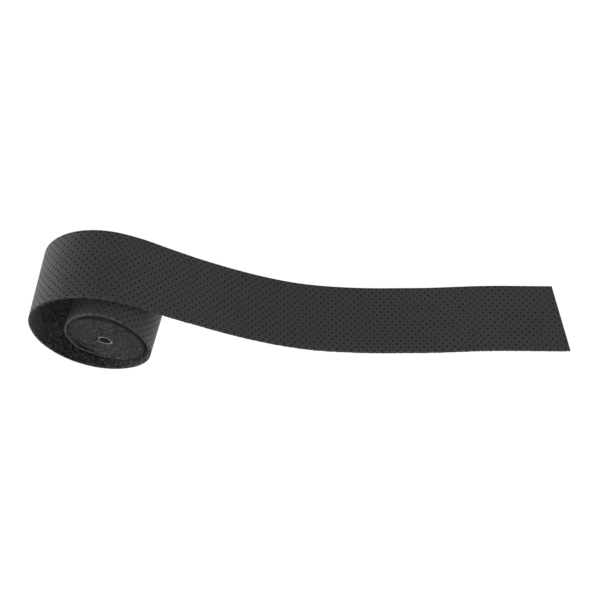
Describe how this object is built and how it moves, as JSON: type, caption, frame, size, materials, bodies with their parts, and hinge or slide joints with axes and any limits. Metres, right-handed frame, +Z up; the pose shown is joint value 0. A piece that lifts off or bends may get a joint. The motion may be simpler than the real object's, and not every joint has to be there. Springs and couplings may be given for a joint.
{
  "type": "grip tape roll",
  "caption": "Perforated racket grip tape with a felt back, wound into a roll lying on its side, with a loose outer turn and a free tail that lies flat and bends up.",
  "frame": {"origin": "middle of the footprint of the whole roll and tail, on the surface it rests on", "axes": "+X along the tape from the roll to the free end, +Y across the tape, +Z up"},
  "size_m": [0.1742, 0.0326, 0.037],
  "materials": {
    "grip_face": "matte, faintly leathery, perforated",
    "felt_backing": "matte fibrous felt",
    "adhesive": "satin",
    "release_liner": "satin paper"
  },
  "bodies": {
    "roll": {"core_face": "grip_face", "core_felt": "felt_backing", "starter_adhesive": "adhesive", "starter_liner": "release_liner", "inner_turn_face": "grip_face", "inner_turn_felt": "felt_backing", "outer_turn_floor_face": "grip_face", "outer_turn_floor_felt": "felt_backing", "outer_turn_back_face": "grip_face", "outer_turn_back_felt": "felt_backing", "outer_turn_top_face": "grip_face", "outer_turn_top_felt": "felt_backing"},
    "ramp": {"ramp_face": "grip_face", "ramp_felt": "felt_backing"},
    "tail_root": {"tail_root_face": "grip_face", "tail_root_felt": "felt_backing"},
    "tail_middle": {"tail_middle_face": "grip_face", "tail_middle_felt": "felt_backing"},
    "tail_tip": {"tail_tip_face": "grip_face", "tail_tip_felt": "felt_backing"}
  },
  "joints": [
    {"name": "ramp_lift", "type": "hinge", "parent": "roll", "child": "ramp", "pos_m": [-0.03379, 0.00394, 0.01958], "axis": [0, -1, 0], "range_deg": [0, 40]},
    {"name": "tail_lift", "type": "hinge", "parent": "ramp", "child": "tail_root", "pos_m": [0.03766, 0.00394, 0.0008], "axis": [0, -1, 0], "range_deg": [0, 70]},
    {"name": "tail_bend", "type": "hinge", "parent": "tail_root", "child": "tail_middle", "pos_m": [0.05394, 0.00394, 0.00155], "axis": [0, -1, 0], "range_deg": [0, 70]},
    {"name": "tip_curl", "type": "hinge", "parent": "tail_middle", "child": "tail_tip", "pos_m": [0.07423, 0.00394, 0.00165], "axis": [0, -1, 0], "range_deg": [0, 70]}
  ]
}
